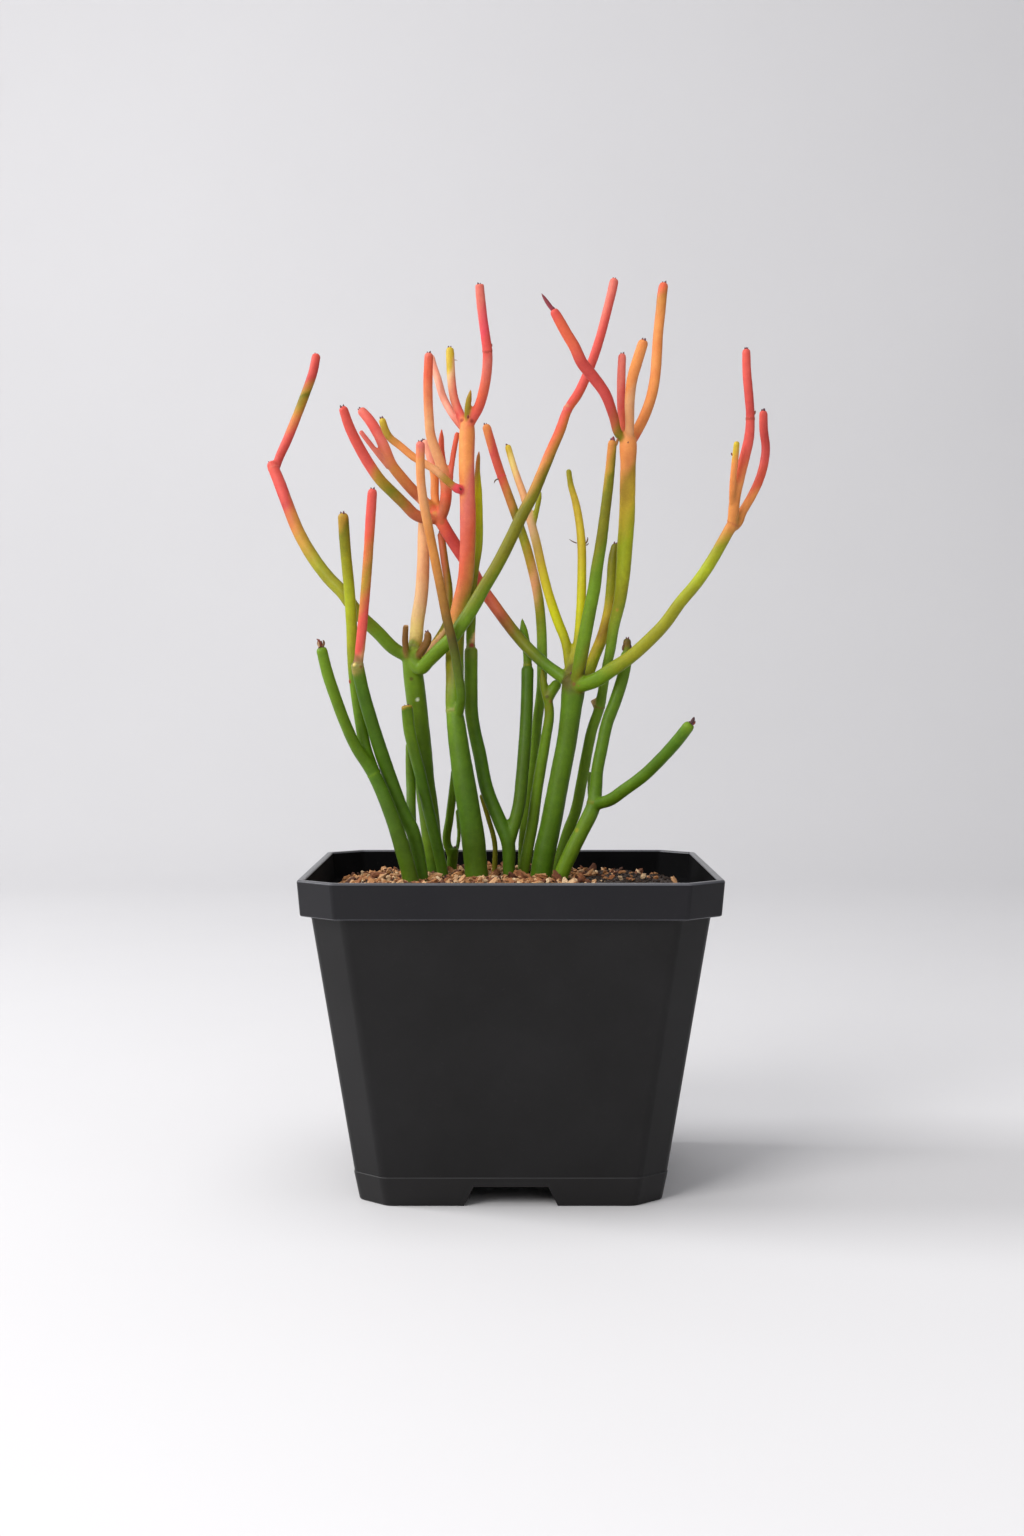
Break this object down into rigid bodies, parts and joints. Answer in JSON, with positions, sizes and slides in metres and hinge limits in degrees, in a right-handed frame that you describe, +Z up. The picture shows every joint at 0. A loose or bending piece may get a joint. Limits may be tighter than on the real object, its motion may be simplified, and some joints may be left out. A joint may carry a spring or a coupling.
{
  "type": "potted firestick pencil cactus",
  "caption": "Clump of thin fleshy branching stems, green below and gold, coral and red above, in a square black nursery pot filled with dark mix and topped with bark chips.",
  "frame": {"origin": "middle of the pot's footprint, on the surface that the pot stands on", "axes": "+Z up, -Y towards the front of the plant, +X to the right in the front view"},
  "size_m": [0.1962, 0.1564, 0.3545],
  "materials": {
    "pot_plastic": "moulded, satin",
    "potting_mix": "loose, dark, moist",
    "bark_chips": "rough, dry",
    "green_stem": "smooth, slightly waxy living skin",
    "sun_coloured_stem": "smooth, slightly waxy living skin, green at the foot to gold, coral and red at the tips"
  },
  "bodies": {
    "root": {"pot": "pot_plastic", "potting_mix": "potting_mix", "bark_chips": "bark_chips", "stem_left_forked": "green_stem", "stem_left_pink": "sun_coloured_stem", "stem_left_tall": "sun_coloured_stem", "stem_left_cut": "green_stem", "stem_back_stub": "green_stem", "stem_middle_crowned": "sun_coloured_stem", "stem_back_thin": "green_stem", "stem_middle_forked": "green_stem", "stem_back_scarred": "green_stem", "stem_back_arching": "sun_coloured_stem", "stem_right_whorled": "sun_coloured_stem", "stem_right_gold": "sun_coloured_stem", "stem_right_forked": "green_stem"}
  },
  "joints": []
}
